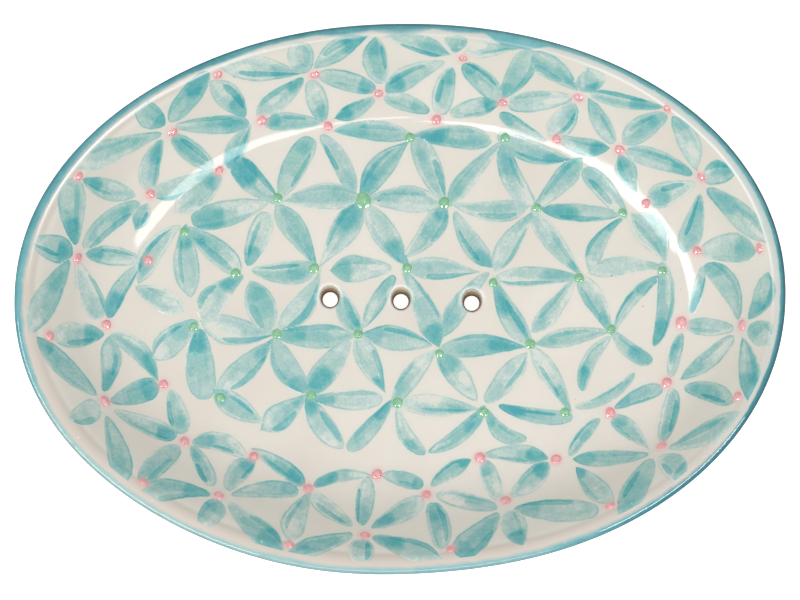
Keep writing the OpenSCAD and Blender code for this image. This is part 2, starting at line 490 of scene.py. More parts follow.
class X:
    """A number in a node tree."""

    def __init__(self, k, s):
        self.k, self.s = k, s

    def __add__(self, o):
        return self.k.math("ADD", self, o)

    __radd__ = __add__

    def __sub__(self, o):
        return self.k.math("SUBTRACT", self, o)

    def __rsub__(self, o):
        return self.k.math("SUBTRACT", o, self)

    def __mul__(self, o):
        return self.k.math("MULTIPLY", self, o)

    __rmul__ = __mul__

    def __truediv__(self, o):
        return self.k.math("DIVIDE", self, o)

    def __pow__(self, o):
        return self.k.math("POWER", self, o)

    def abs(self):
        return self.k.math("ABSOLUTE", self)

    def sqrt(self):
        return self.k.math("SQRT", self)

    def max(self, o):
        return self.k.math("MAXIMUM", self, o)

    def min(self, o):
        return self.k.math("MINIMUM", self, o)

    def clamp(self):
        return self.k.math("ADD", self, 0.0, clamp=True)


def bell(k, v, mid, width):
    """A soft bump of height 1 where v is near mid."""
    d = (v - mid) / width
    return k.math("EXPONENT", d * d * -1.0)


# ---------------------------------------------------------------- the painted petals
# One petal a line: its two tips in the photograph's frame, width and bow in px, which way its belly leans (tenths) and
# how full its two ends are (tenths: 4 round, 12 pointed). Only outlines are measured: the brushwork inside them is made
# up by brush().
PETALS = """
408 137 491 141 24 -3 -4 4 6
410 140 360 201 26 6 -1 12 10
415 134 445 205 25 0 2 4 8
412 136 333 130 21 3 2 8 6
506 139 445 209 20 4 -4 4 12
502 140 532 206 22 7 -1 4 4
278 202 363 198 27 -4 -2 10 10
269 201 191 221 27 -1 -3 6 4
267 212 247 265 23 0 3 4 4
275 204 318 272 25 -3 4 8 8
279 199 311 137 25 -2 -2 6 3
280 203 233 158 26 -3 -4 4 4
362 200 443 204 27 -4 -2 8 10
362 200 317 269 28 -1 3 8 12
362 198 412 271 26 2 1 12 12
353 194 321 134 19 4 1 4 4
452 203 528 206 23 6 -4 4 8
445 202 405 256 24 -5 3 8 4
454 211 492 267 22 4 -3 4 8
538 208 620 213 18 2 1 8 4
536 209 494 270 22 3 -4 6 6
532 211 583 277 21 2 4 4 6
623 217 590 275 18 9 -4 4 12
628 212 666 266 34 -8 2 12 12
185 228 240 272 25 -2 -3 4 6
251 270 315 269 24 3 -4 4 4
242 275 201 322 30 6 -4 4 12
250 280 269 333 31 -1 0 8 6
329 270 391 268 28 -1 3 12 4
320 269 275 331 26 -7 -2 12 12
407 267 481 272 23 -1 3 4 12
394 275 362 328 16 1 0 4 8
402 267 439 348 26 -3 -4 4 12
494 278 579 277 20 -2 3 8 4
493 276 533 348 23 5 -2 8 12
576 276 531 333 20 -2 -4 4 8
577 273 612 335 22 -2 3 12 6
659 275 613 331 13 6 2 6 4
199 321 279 332 30 5 3 10 8
275 334 358 334 25 2 -1 4 12
276 335 215 391 25 -3 -2 12 8
273 332 311 393 26 8 0 12 6
360 333 432 345 25 -1 1 12 8
349 338 306 394 26 -1 -3 4 6
356 333 385 393 24 1 2 8 10
436 352 528 347 23 -5 2 6 10
435 349 391 407 19 3 0 8 6
439 351 476 400 24 0 2 6 6
532 344 612 330 19 -1 2 12 8
527 352 485 402 23 -1 1 10 4
528 343 571 413 20 -2 2 12 8
310 397 382 398 21 2 -4 4 4
398 402 481 409 22 0 2 6 10
169 121 208 71 22 0 0 5 5
161 133 70 168 27 2 -4 4 12
175 126 249 123 19 0 -3 4 4
172 136 212 168 21 0 0 4 4
161 139 147 192 21 4 -3 4 6
75 244 72 178 28 -2 -4 4 4
83 248 139 202 21 -4 0 4 4
85 253 141 260 20 -1 1 6 6
77 262 100 318 25 1 -4 4 4
96 395 36 336 21 -2 -1 6 8
106 416 124 483 24 -2 -4 4 6
104 391 109 335 22 4 -3 4 10
110 401 158 384 24 1 -4 4 4
114 410 176 436 19 1 -4 4 4
210 494 138 494 24 5 -4 4 12
228 503 284 550 25 2 -3 4 12
213 485 191 445 17 0 2 4 4
226 489 256 458 23 -4 -1 4 12
231 494 298 490 18 -3 -4 4 4
352 534 285 553 20 -1 -2 4 12
372 537 444 562 24 -1 -3 4 12
352 525 310 494 17 -1 -3 4 4
361 525 366 476 19 1 -1 4 4
371 527 423 499 21 1 -4 4 4
499 513 455 554 27 -2 -4 4 4
513 508 598 510 23 1 -2 6 4
497 507 436 494 17 0 -1 4 4
499 500 484 460 19 -1 -1 4 4
511 497 548 462 21 1 -2 4 6
652 459 618 518 25 0 -1 4 10
668 448 742 411 23 4 -2 6 10
648 454 573 459 16 -1 -3 4 6
649 449 612 417 19 2 -4 8 4
661 441 673 388 18 2 -1 4 4
742 337 748 403 23 -4 -1 8 12
733 336 680 379 18 -2 0 4 8
733 328 686 325 18 0 -2 4 4
738 319 706 263 23 8 -4 4 4
707 188 768 243 25 -2 -2 4 12
696 171 672 116 23 5 0 10 6
700 194 683 252 23 -2 -4 4 8
694 183 648 200 25 0 -4 4 4
692 174 625 151 20 3 -3 4 4
590 93 662 107 15 1 3 4 4
578 90 523 54 24 4 -2 8 6
588 97 613 143 18 1 -1 8 4
574 103 548 135 25 -3 -1 4 8
572 97 507 104 21 0 -3 4 4
463 53 528 48 18 -3 4 10 10
450 54 385 36 19 2 2 12 6
462 64 501 99 22 -1 -1 4 4
451 67 440 114 22 2 -2 4 4
444 61 385 91 23 3 -4 4 6
304 73 218 66 26 1 -2 10 10
303 78 256 115 22 -1 -3 4 8
310 80 322 122 21 -1 1 4 4
318 74 375 89 20 -1 0 4 4
82 179 135 195 22 2 -1 6 8
53 334 104 333 26 1 2 4 6
139 483 179 446 23 -2 0 4 4
288 541 311 492 26 -4 4 12 4
441 549 431 502 23 3 0 4 4
733 401 684 387 21 3 2 6 4
756 251 700 251 30 4 2 8 4
666 114 622 143 25 2 -2 4 8
531 49 501 97 26 -2 3 6 4
375 36 382 83 26 4 0 8 4
263 122 322 122 19 -1 4 6 4
250 124 228 168 20 2 -4 4 4
333 118 374 98 17 2 1 12 4
214 168 153 194 21 -4 -4 4 4
220 173 174 212 28 -1 -1 4 10
139 264 107 317 17 4 -3 4 4
111 334 158 382 20 -8 2 4 8
170 389 183 433 21 0 -3 4 4
192 441 246 456 19 -7 1 4 4
251 448 304 484 17 -2 -4 4 4
313 485 374 477 13 -6 3 4 4
382 474 423 485 16 -1 -2 4 4
430 486 471 459 16 -2 -1 6 8
484 454 548 458 19 -3 -3 4 8
569 455 599 418 13 -2 0 4 4
614 408 662 387 16 -2 -4 4 4
670 376 681 333 13 -1 0 4 4
637 193 618 153 21 0 -2 12 12
610 148 557 136 18 -4 2 10 4
545 140 499 113 14 -1 -4 4 4
499 103 450 113 19 1 1 8 4
429 111 384 96 18 1 -2 4 4
303 73 298 42 27 0 -1 4 4
313 68 369 35 22 -4 1 10 12
209 80 245 116 26 -2 1 10 6
164 125 138 104 26 -2 -1 6 4
148 203 135 230 17 1 -1 6 12
72 254 31 240 28 0 3 6 4
69 259 27 335 27 1 -2 6 10
179 225 138 283 23 7 -2 6 8
185 224 190 297 26 2 -2 6 8
135 286 185 311 23 0 -2 6 8
497 134 573 159 23 6 2 4 10
531 211 582 157 23 1 -4 4 10
583 168 626 218 21 -2 3 4 4
587 273 666 268 20 -6 4 12 4
454 52 454 35 23 2 -4 4 4
595 93 587 67 33 -2 0 10 12
703 177 734 174 25 -4 1 4 8
748 319 768 271 22 5 -2 6 10
662 262 654 346 18 -7 2 4 4
488 272 442 338 21 5 -3 4 12
703 266 690 313 11 -1 0 4 4
340 287 362 334 21 5 -1 10 8
199 328 204 399 30 2 -3 4 4
197 321 151 360 28 2 -2 4 12
213 389 263 422 24 2 2 6 8
308 393 260 430 27 -1 -3 8 12
306 394 342 448 23 4 -1 6 6
392 399 348 450 18 -2 -4 4 4
99 405 69 418 25 -2 3 6 4
221 502 199 528 24 1 3 4 4
362 539 359 564 26 0 1 4 4
398 402 424 454 16 8 -4 4 4
485 406 428 452 16 -6 0 4 6
486 409 525 440 17 9 -3 4 4
498 405 572 417 16 4 -3 4 4
575 407 634 373 11 7 0 4 4
610 336 581 390 15 7 -2 4 4
610 329 651 362 17 4 -4 4 4
576 467 613 502 23 2 -2 6 8
509 510 522 545 26 1 2 4 6
658 457 683 479 26 -4 -1 6 6
750 324 771 345 27 -2 0 4 12
"""
STROKES = 4


def brush(rng):
    """How one petal was washed in: its depth, the breadth and depth of the line along its two edges, and four touches
    of the brush, each as place across, breadth (minus if soft), place along, half length, and how much colour it lays."""
    u = rng.uniform
    end, side = rng.choice([-1, 1], 2)
    belly = (u(-0.3, 0.3), -u(0.45, 0.75), u(-0.2, 0.2), u(0.6, 0.95), u(0.05, 0.2))
    pool = (u(-0.2, 0.2), -u(0.8, 1.2), end * u(0.6, 0.9), u(0.35, 0.65), u(0.08, 0.34))
    streak = (side * u(0.35, 0.8), u(0.16, 0.32), u(-0.3, 0.3), u(0.4, 0.8), u(0.08, 0.34))
    bare = (u(-0.4, 0.4), -u(0.3, 0.6), -end * u(0.2, 0.6), u(0.25, 0.5), -u(0.0, 0.18))
    return u(0.17, 0.35), u(1.2, 3.0), u(-0.2, 0.06), u(-0.2, 0.06), [belly, pool, streak, bare]


def read_petals():
    rng = np.random.default_rng(61)
    out = []
    for line in PETALS.strip().splitlines():
        x0, y0, x1, y1, wid, bow, lean, ea, eb = [float(c) for c in line.split()]
        out.append((x0, y0, x1, y1, wid, bow, lean / 10, ea / 10, eb / 10) + brush(rng))
    return out


def petal_depth(p, q):
    """How far inside petal p the points q lie, in px; negative outside."""
    x0, y0, x1, y1, wid, bow, lean, ea, eb = p[:9]
    ln = math.hypot(x1 - x0, y1 - y0)
    ux, uy = (x1 - x0) / ln, (y1 - y0) / ln
    dx, dy = q[:, 0] - (x0 + x1) / 2, q[:, 1] - (y0 + y1) / 2
    s = (dx * ux + dy * uy) / (ln / 2)
    c = np.clip(1 - s * s, 0, 1)
    t = -dx * uy + dy * ux - bow * c
    s2 = s + lean * c
    h = wid / 2 * np.maximum(1 - s2 * s2, 1e-6) ** (ea + (eb - ea) * np.clip((s + 1) / 2, 0, 1))
    return np.where(abs(s) > 1, -np.hypot((abs(s) - 1) * ln / 2, t), np.minimum(h - abs(t), (1 - abs(s)) * ln / 2 + 0.5))


def paint(obj, painted, rim):
    """Lays the petals on the mesh: each face belongs to one petal, and its corners carry where they lie in it."""
    me = obj.data
    n = len(me.vertices)
    co = np.zeros(n * 3)
    me.vertices.foreach_get("co", co)
    px = to_px(co.reshape(-1, 3) * 1000)
    loops = np.zeros(len(me.loops), int)
    me.loops.foreach_get("vertex_index", loops)
    start = np.zeros(len(me.polygons), int)
    total = np.zeros(len(me.polygons), int)
    me.polygons.foreach_get("loop_start", start)
    me.polygons.foreach_get("loop_total", total)
    face_of = np.repeat(np.arange(len(start)), total)
    mid = np.stack([np.bincount(face_of, px[loops, i]) / total for i in range(2)], -1)
    front = np.bincount(face_of, painted[loops]) / total > 0.5
    petals = read_petals()
    best = np.full(len(mid), -1e9)
    own = np.full(len(mid), -1)
    for i, p in enumerate(petals):
        pad = 12 + abs(p[5])
        near = np.where(
            front
            & (mid[:, 0] > min(p[0], p[2]) - pad - p[4])
            & (mid[:, 0] < max(p[0], p[2]) + pad + p[4])
            & (mid[:, 1] > min(p[1], p[3]) - pad - p[4])
            & (mid[:, 1] < max(p[1], p[3]) + pad + p[4])
        )[0]
        d = petal_depth(p, mid[near])
        up = d > best[near]
        best[near[up]] = d[up]
        own[near[up]] = i
    none = own < 0
    own = np.where(none, 0, own)
    tab = {k: [] for k in ["shape", "ends", "amps", "edges"] + ["stroke%d" % (j + 1) for j in range(STROKES)]}
    for i, p in enumerate(petals):
        ln = math.hypot(p[2] - p[0], p[3] - p[1])
        tab["shape"].append((ln / 2, p[4] / 2, p[6], p[5]))
        tab["ends"].append((p[7], p[8], p[9], p[10]))
        tab["amps"].append([q[4] for q in p[13]])
        tab["edges"].append((p[11], p[12], 0, 0))
        for j in range(STROKES):
            tab["stroke%d" % (j + 1)].append(p[13][j][:4])
    for k, v in tab.items():
        a = me.attributes.new(k, "FLOAT_COLOR", "FACE")
        a.data.foreach_set("color", np.array(v, np.float32)[own].ravel())
    at = np.array([(p[0] + p[2], p[1] + p[3]) for p in petals]) / 2
    di = np.array([(p[2] - p[0], p[3] - p[1]) for p in petals])
    di = di / np.hypot(*di.T)[:, None]
    d = px[loops] - at[own[face_of]]
    e = di[own[face_of]]
    place = np.stack([(d * e).sum(1), d[:, 1] * e[:, 0] - d[:, 0] * e[:, 1], np.zeros(len(d))], -1)
    place[none[face_of]] = (999, 999, 0)
    a = me.attributes.new("in_petal", "FLOAT_VECTOR", "CORNER")
    a.data.foreach_set("vector", place.astype(np.float32).ravel())
    a = me.attributes.new("rim", "FLOAT", "POINT")
    a.data.foreach_set("value", rim.astype(np.float32))
    # a map of the painted side for baking, laid out flat; the hidden side goes in a corner
    uv = me.uv_layers.new(name="OFBake")
    q = px[loops]
    lo, hi = px[painted > 0.5].min(0), px[painted > 0.5].max(0)
    m = (q - lo) / (hi - lo)
    m[:, 1] = 1 - m[:, 1]
    m = m * 0.99 + 0.005
    hidden = ~front[face_of]
    m[hidden] = m[hidden] * 0.012 + 0.001
    uv.data.foreach_set("uv", m.astype(np.float32).ravel())


# ---------------------------------------------------------------- materials
WASH = [
    (0.00, lin(225, 221, 212)), (0.05, lin(218, 223, 215)), (0.12, lin(206, 219, 212)), (0.20, lin(193, 212, 206)),
    (0.30, lin(178, 204, 198)), (0.42, lin(160, 197, 192)), (0.54, lin(139, 189, 186)), (0.68, lin(114, 181, 181)),
    (0.82, lin(91, 173, 176)), (0.98, lin(64, 163, 169)),
]
GROUND = lin(228, 221, 211)


def teal_edge(k):
    """How much of the rim's turquoise lies at a place. rim is the distance over the lip, in mm, from the band's inner edge; starts_at and full_at are where the brush began to lay colour and where it lies full."""
    rim = k.value("rim")
    wander = (k.noise(2.6, 2, seed=3) - 0.5) * 0.5 + (k.noise(0.9, 2, seed=4) - 0.5) * 0.2
    start, full = k.value("starts_at"), k.value("full_at")
    t = ((rim + wander - start) / (full - start)).clamp()
    return t, rim


def rim_colour(k, t, rim, ground, bare=1.0):
    tone = k.noise(3.2, 3, 0.6, seed=6) * 0.6 + k.noise(16.0, 2, 0.5, seed=7) * 0.4 - 0.5
    fine = k.noise(0.7, 3, 0.7, seed=12) - 0.5
    far = k.value("thick_and_shade")
    # the band's load: partly the brush's own, partly painted light that makes the near side paler
    load_and_light = k.value("load_and_light") + tone * 0.9 + fine * 0.22 + (rim - 0.9).clamp() * 0.14 - 0.04
    c = k.ramp(load_and_light, [(0.0, lin(172, 201, 198)), (0.3, lin(150, 192, 194)), (0.6, lin(114, 180, 186)), (0.85, lin(85, 160, 169)), (1.0, lin(70, 147, 159))])
    # the glaze runs thick and dark over the outer edge; the extra darkening on the far side is also painted shade on
    # the edge that turns away from the light
    c = k.mix(k.step(rim + tone * 0.6, 1.15, 2.2) * far, c, lin(46, 98, 109))
    # on the far side the white beside the band is tinted bluish grey: partly turquoise bled into it, partly painted
    # shade
    ground = k.mix(k.step(rim, -1.8, 0.4) * (far * 0.95).clamp() * bare, ground, lin(178, 201, 199))
    # painted shade: on the near side the white over the lip's shoulder is painted darker
    ground = k.mix(k.step(rim, -2.6, -0.6) * (0.62 - far).clamp() * bare, ground, lin(200, 189, 178))
    # painted light: a band on the near wall, below the shoulder, is painted lighter to even out the shading there
    ground = k.mix(bell(k, rim, -2.6, 0.8) * (0.62 - far).clamp() * 0.7 * bare, ground, lin(240, 234, 225))
    return k.mix(t ** 0.95, ground, c)


def glaze_ground(k):
    """The warm white tin glaze: faint clouds, and a slightly pinker or greener cast here and there."""
    c = k.ramp(k.noise(26, 3, 0.5, seed=1), [(0.35, lin(225, 216, 206)), (0.5, GROUND), (0.66, lin(231, 225, 216))])
    c = k.mix((k.noise(7, 2, seed=2) - 0.45).clamp() * 0.5, c, lin(219, 222, 210))
    return k.mix((k.noise(3.2, 2, seed=9) - 0.5).clamp() * 0.35, c, lin(236, 216, 206))


def specks(k, c, amount=1.0):
    """Iron specks and pinholes: small, few, and of many sizes."""
    out = c
    for size, r, seed, share, colour in ((4.2, 0.050, 5, 0.80, lin(70, 74, 66)), (7.5, 0.042, 8, 0.72, lin(96, 84, 62)), (3.1, 0.040, 11, 0.86, lin(60, 110, 108))):
        v = k.cells(size, seed)
        d = X(k, v.outputs["Distance"])
        s = k.t.nodes.new("ShaderNodeSeparateColor")
        k.t.links.new(v.outputs["Color"], s.inputs[0])
        pick = k.math("GREATER_THAN", X(k, s.outputs[0]), share)
        reach = (X(k, s.outputs[1]) * 0.7 + 0.5) * r
        dot = (1.0 - k.step(d / reach, 0.45, 1.0)) * pick * 0.75 * amount
        out = k.mix(dot, out, colour)
    v = k.cells(3.6, 21)
    s = k.t.nodes.new("ShaderNodeSeparateColor")
    k.t.links.new(v.outputs["Color"], s.inputs[0])
    pick = k.math("GREATER_THAN", X(k, s.outputs[0]), 0.72)
    dot = (1.0 - k.step(X(k, v.outputs["Distance"]) / 0.075, 0.4, 1.0)) * pick * 0.55 * amount
    return k.mix(dot, out, lin(248, 246, 240))


def painted_glaze():
    k = Nodes("painted_glaze", roughness=0.06, ior=1.5)
    half_l, half_w, lean, bow = k.four("shape")
    end_a, end_b, tone, ring_w = k.four("ends")
    amps = k.four("amps")
    ring_l, ring_r = k.four("edges")[:2]
    a, t, _ = k.three("in_petal")
    # the hand's tremor in every outline
    shake = k.noise(1.6, 2, seed=31) - 0.5
    a = a + shake * 2.0
    t = t + (k.noise(2.6, 2, seed=32) - 0.5) * 1.8 + shake * 0.7
    s = a / half_l
    c = (1.0 - s * s).clamp()
    t = t - bow * c
    s2 = s + lean * c
    full = end_a + (end_b - end_a) * ((s + 1.0) * 0.5).clamp()
    h = half_w * ((1.0 - s2 * s2).max(0.00001) ** full)
    edge = (h - t.abs()).min((1.0 - s.abs()) * half_l + 0.5)
    v = t / h.max(0.6)
    inside = k.step(edge, -0.8, 0.9)
    # the wash, mottled, with pigment gathered along its edge
    fine = k.noise(0.62, 4, 0.72, seed=33)
    mid = k.noise(2.0, 2, 0.6, seed=34)
    depth = tone + (fine - 0.5) * 0.46 + (mid - 0.5) * 0.28
    line = bell(k, edge, 0.9, 0.95) * (0.06 + (k.noise(3.5, 1, seed=36) - 0.4).clamp() * 0.6)
    depth = depth + line
    left = k.step(v, -0.25, 0.25)
    depth = depth + (1.0 - k.step(edge, ring_w - 0.9, ring_w + 0.9)) * (ring_r + (ring_l - ring_r) * left)
    wob = (k.noise(1.3, 2, 0.6, seed=37) - 0.5) * 0.36
    for j, amp in enumerate(amps):
        vc, vh, sc, sl = k.four("stroke%d" % (j + 1))
        p, q = (s - sc) / sl, (v - vc) / vh
        p = p * p
        soft = k.math("LESS_THAN", vh, 0.0)
        d = (p * p + q * q).sqrt() + wob
        depth = depth + amp * (1.0 - k.step(d, 0.88 - soft * 0.36, 1.06 + soft * 0.22))
    # pale crystals and blurred light spots in the wash, and a few darker grains
    fl = k.cells(0.85, 41)
    flake = (1.0 - k.step(X(k, fl.outputs["Distance"]), 0.10, 0.26)) * k.step(k.noise(4.0, 2, seed=42), 0.5, 0.6)
    depth = depth - flake * 0.17 * (1.0 - k.step(depth, 0.45, 0.7))
    dk = k.cells(0.62, 43)
    dark = (1.0 - k.step(X(k, dk.outputs["Distance"]), 0.08, 0.24)) * k.step(k.noise(3.0, 2, seed=44), 0.5, 0.62)
    # how unevenly the brush was loaded: pale places paler, full ones fuller
    depth = ((depth + dark * 0.12) * 1.33 - 0.08).clamp()
    wash = k.ramp(depth, WASH)
    # here and there the wash goes greener, or bluer
    cast = k.noise(4.2, 2, seed=45)
    wash = k.mix((cast - 0.52).clamp() * 1.3, wash, k.mix(0.5, wash, lin(150, 190, 214)))
    wash = k.mix((0.48 - cast).clamp() * 1.3, wash, k.mix(0.5, wash, lin(150, 206, 178)))
    ground = glaze_ground(k)
    # glaze that ran a little past the outline
    out = edge * -1.0
    haze = (1.0 - k.step(out, -1.0, 6.5)) * (0.12 + (mid - 0.4).clamp() * 0.8)
    ground = k.mix(haze, ground, lin(200, 218, 208))
    colour = k.mix(inside, ground, wash)
    # a faint grey line where a pale wash stopped
    grey = bell(k, edge, 0.3, 0.75) * (1.0 - k.step(depth, 0.25, 0.5)) * k.step(k.noise(5.0, 2, seed=46), 0.42, 0.6)
    colour = k.mix(grey * 0.36, colour, lin(172, 182, 172))
    # pink and green that bled out from under the dots
    pink, green = k.value("pink"), k.value("green")
    colour = k.mix(pink * 0.6, colour, lin(238, 186, 184))
    colour = k.mix(green * 0.42, colour, lin(182, 212, 184))
    cover, rim = teal_edge(k)
    colour = rim_colour(k, cover, rim, colour, 1.0 - inside * 0.8)
    # a painted highlight: a white line where the wall turns over into the lip, standing in for the light reflected
    # there
    shoulder_highlight = bell(k, rim - k.value("shoulder_highlight_at") + (k.noise(7.0, 1, seed=47) - 0.5) * 0.14, 0, 0.3)
    colour = k.mix((shoulder_highlight * k.value("shoulder_highlight")).clamp(), colour, lin(252, 251, 248))
    colour = specks(k, colour)
    # going down each drain hole the glaze is painted browner and darker: partly the clay showing through, partly
    # painted shade in the hole
    hole = k.value("hole")
    colour = k.mix((hole * 1.6).clamp(), colour, k.ramp(hole + (k.noise(0.8, 2, seed=51) - 0.5) * 0.25, [(0.15, lin(246, 238, 226)), (0.6, lin(240, 226, 204)), (1.0, lin(228, 208, 178))]))
    # painted highlight: a white ring at the mouth of each drain hole
    colour = k.mix(k.value("mouth") * 0.85, colour, lin(252, 251, 248))
    k.colour(colour)
    k.rough(0.045 + (k.noise(6, 2, seed=52) - 0.4).clamp() * 0.08 + inside * 0.015)
    pits = k.cells(2.2, 53)
    pit = 1.0 - k.step(X(k, pits.outputs["Distance"]), 0.02, 0.06)
    k.bump(k.noise(5.5, 2, seed=54) * 0.8 + inside * 0.2 + k.step(depth, 0.5, 0.8) * inside * 0.25 - pit * 0.35, 0.018)
    return k.mat


def rim_glaze():
    k = Nodes("turquoise_rim_glaze", roughness=0.06, ior=1.5)
    cover, rim = teal_edge(k)
    c = rim_colour(k, cover, rim, glaze_ground(k))
    # outside, the coat is full all round, then ends in drips on the wall
    over = k.step(rim + (k.noise(4, 2, seed=61) - 0.5) * 0.5, 2.5, 3.5)
    c = k.mix(over, c, k.ramp(k.noise(3, 3, seed=62), [(0.3, lin(62, 128, 142)), (0.55, lin(82, 152, 164)), (0.75, lin(112, 174, 182))]))
    fade = k.step(rim + (k.noise(2.6, 2, seed=63) - 0.5) * 2.4, 6.0, 7.2)
    c = k.mix(fade * 0.85, c, glaze_ground(k))
    c = specks(k, c, 0.8)
    k.colour(c)
    k.rough(0.05 + (k.noise(5, 2, seed=64) - 0.4).clamp() * 0.08)
    k.bump(k.noise(4.0, 2, seed=65), 0.03)
    return k.mat


def outer_glaze_mat():
    k = Nodes("warm_white_glaze", roughness=0.08, ior=1.5)
    c = glaze_ground(k)
    z = k.t.nodes.new("ShaderNodeSeparateXYZ")
    k.t.links.new(k.mm, z.inputs[0])
    z = X(k, z.outputs[2])
    # thin turquoise runs under the band, and a warmer line where the glaze stops at the foot
    run = k.step(z + (k.noise(3.0, 2, seed=71) - 0.5) * 7.0, 17.5, 20.5)
    c = k.mix(run * 0.5, c, lin(150, 198, 198))
    low = 1.0 - k.step(z + (k.noise(5.0, 2, seed=72) - 0.5) * 1.5, 4.1, 5.2)
    c = k.mix(low * 0.5, c, lin(206, 184, 158))
    c = specks(k, c, 1.0)
    k.colour(c)
    k.rough(0.06 + (k.noise(8, 2, seed=73) - 0.4).clamp() * 0.12)
    k.bump(k.noise(7.0, 3, seed=74), 0.05)
    return k.mat


def bare_clay():
    k = Nodes("bare_buff_clay", roughness=0.8, ior=1.45)
    c = k.ramp(k.noise(2.2, 4, 0.65, seed=81), [(0.3, lin(196, 174, 146)), (0.5, lin(208, 188, 162)), (0.7, lin(217, 200, 176))])
    g = k.cells(0.55, 82)
    grog = 1.0 - k.step(X(k, g.outputs["Distance"]), 0.06, 0.2)
    c = k.mix(grog * 0.35, c, lin(168, 146, 118))
    z = k.t.nodes.new("ShaderNodeSeparateXYZ")
    k.t.links.new(k.mm, z.inputs[0])
    worn = 1.0 - k.step(X(k, z.outputs[2]) + (k.noise(1.5, 2, seed=83) - 0.5) * 0.8, 0.1, 0.9)
    c = k.mix(worn * 0.35, c, lin(178, 160, 138))
    # inside the drain holes the clay is painted dark brown towards the bottom: partly an iron stain, partly painted
    # shade
    stain_and_shade = k.value("stain_and_shade")
    c = k.mix(stain_and_shade, c, k.ramp(stain_and_shade + (k.noise(0.7, 2, seed=86) - 0.5) * 0.3, [(0.3, lin(150, 124, 96)), (0.9, lin(86, 62, 44))]))
    k.colour(c)
    k.rough(0.72 + (k.noise(1.2, 2, seed=84) - 0.5) * 0.3)
    k.bump(k.noise(0.45, 4, 0.7, seed=85) + grog * 0.6, 0.06)
    return k.mat


def bead_mat(name, deep, mid, light, seed):
    k = Nodes(name, roughness=0.05, ior=1.52)
    n = k.noise(0.9, 3, 0.6, seed=seed)
    c = k.ramp(n, [(0.25, deep), (0.5, mid), (0.78, light)])
    top = k.value("crown")  # thin and pale at the foot of a bead, full colour on its crown
    c = k.mix((1.0 - k.step(top, 0.0, 0.35)) * 0.45, c, light)
    tint = k.noise(22, 1, seed=seed + 1)
    c = k.mix((tint - 0.45).clamp() * 0.9, c, deep)
    f = k.cells(0.35, seed + 2)
    c = k.mix((1.0 - k.step(X(k, f.outputs["Distance"]), 0.06, 0.2)) * 0.3, c, light)
    k.colour(c)
    k.rough(0.05 + (k.noise(1.2, 2, seed=seed + 3) - 0.4).clamp() * 0.1)
    k.bump(k.noise(0.8, 2, seed=seed + 4), 0.03)
    return k.mat


def floor_mat():
    k = Nodes("pale_ground", roughness=0.6, ior=1.4)
    n = k.noise(60, 3, seed=91)
    k.colour(k.ramp(n, [(0.3, lin(246, 246, 246)), (0.7, lin(252, 252, 252))]))
    k.put(k.bsdf.inputs["Emission Color"], (1, 1, 1, 1))
    k.bsdf.inputs["Emission Strength"].default_value = 0.80
    return k.mat


# ---------------------------------------------------------------- the pieces
def hollow(x, y, z0):
    """Points on the floor at height z0, with its slight unevenness."""
    p = np.stack([x, y, np.full(len(x), z0)], -1)
    q = lift(p, RUN)
    q[:, 2] += swell(p, inset_of(x, y))
    return q


white = painted_glaze()
clay = bare_clay()
outer = outer_glaze_mat()

# inner glaze: the painted inside, one closed coat 0.4 mm thick
HOLE_N = 64


def mouth(skin, ring, hx, hy, prof, n, flip=False):
    """Rings (radius, height) going down a drain hole from its rim. Each mouth is a little longer to and fro, where the tool was worked out of the clay."""
    t = np.linspace(0, 2 * np.pi, n, endpoint=False)
    for r, z in prof:
        stretch = 1 + 0.15 * min(max((r - 1.6) / 0.4, 0), 1) * min(max((2.7 - r) / 0.5, 0), 1)
        nr = skin.add(np.stack([hx + r * np.cos(t), hy + r * stretch * np.sin(t), np.full(n, z)], -1))
        skin.quads(ring, nr, not flip)
        ring = nr
    return ring


inner = Skin()
border, rings = cap(inner, 180, RUN, lambda x, y: hollow(x, y, FLOOR), 2.75, HOLE_N)
eased = [(2.6, 10.0), (2.45, 9.995), (2.33, 9.975), (2.23, 9.93), (2.15, 9.85), (2.09, 9.74), (2.05, 9.58), (2.02, 9.3), (1.98, 8.9), (1.94, 8.45), (1.9, 8.0)]
mouths = [mouth(inner, r, *h, eased, HOLE_N) for r, h in zip(rings, HOLES)]
up_wall = section(0.0, 30, 14, BAND_A, 7)
edge = climb(inner, border, up_wall, 720, flip=True, bumps=inside, marks=along(up_wall))
n_front = inner.n
b2, rings2 = cap(inner, 60, RUN, lambda x, y: hollow(x, y, FLOOR - GLAZE), 2.9, 32, flip=True)
e2 = climb(inner, b2, section(GLAZE, 8, 4, BAND_A, 3), 240, bumps=inside)
inner.quads(edge, e2, flip=True)
for r2, h, m in zip(rings2, HOLES, mouths):
    low = mouth(inner, r2, *h, [(2.6, 9.5), (2.4, 9.3), (2.2, 8.9), (2.05, 8.4)], 32, flip=True)
    inner.quads(m, low)
inside_obj = make("painted_inside", inner, white, 60)


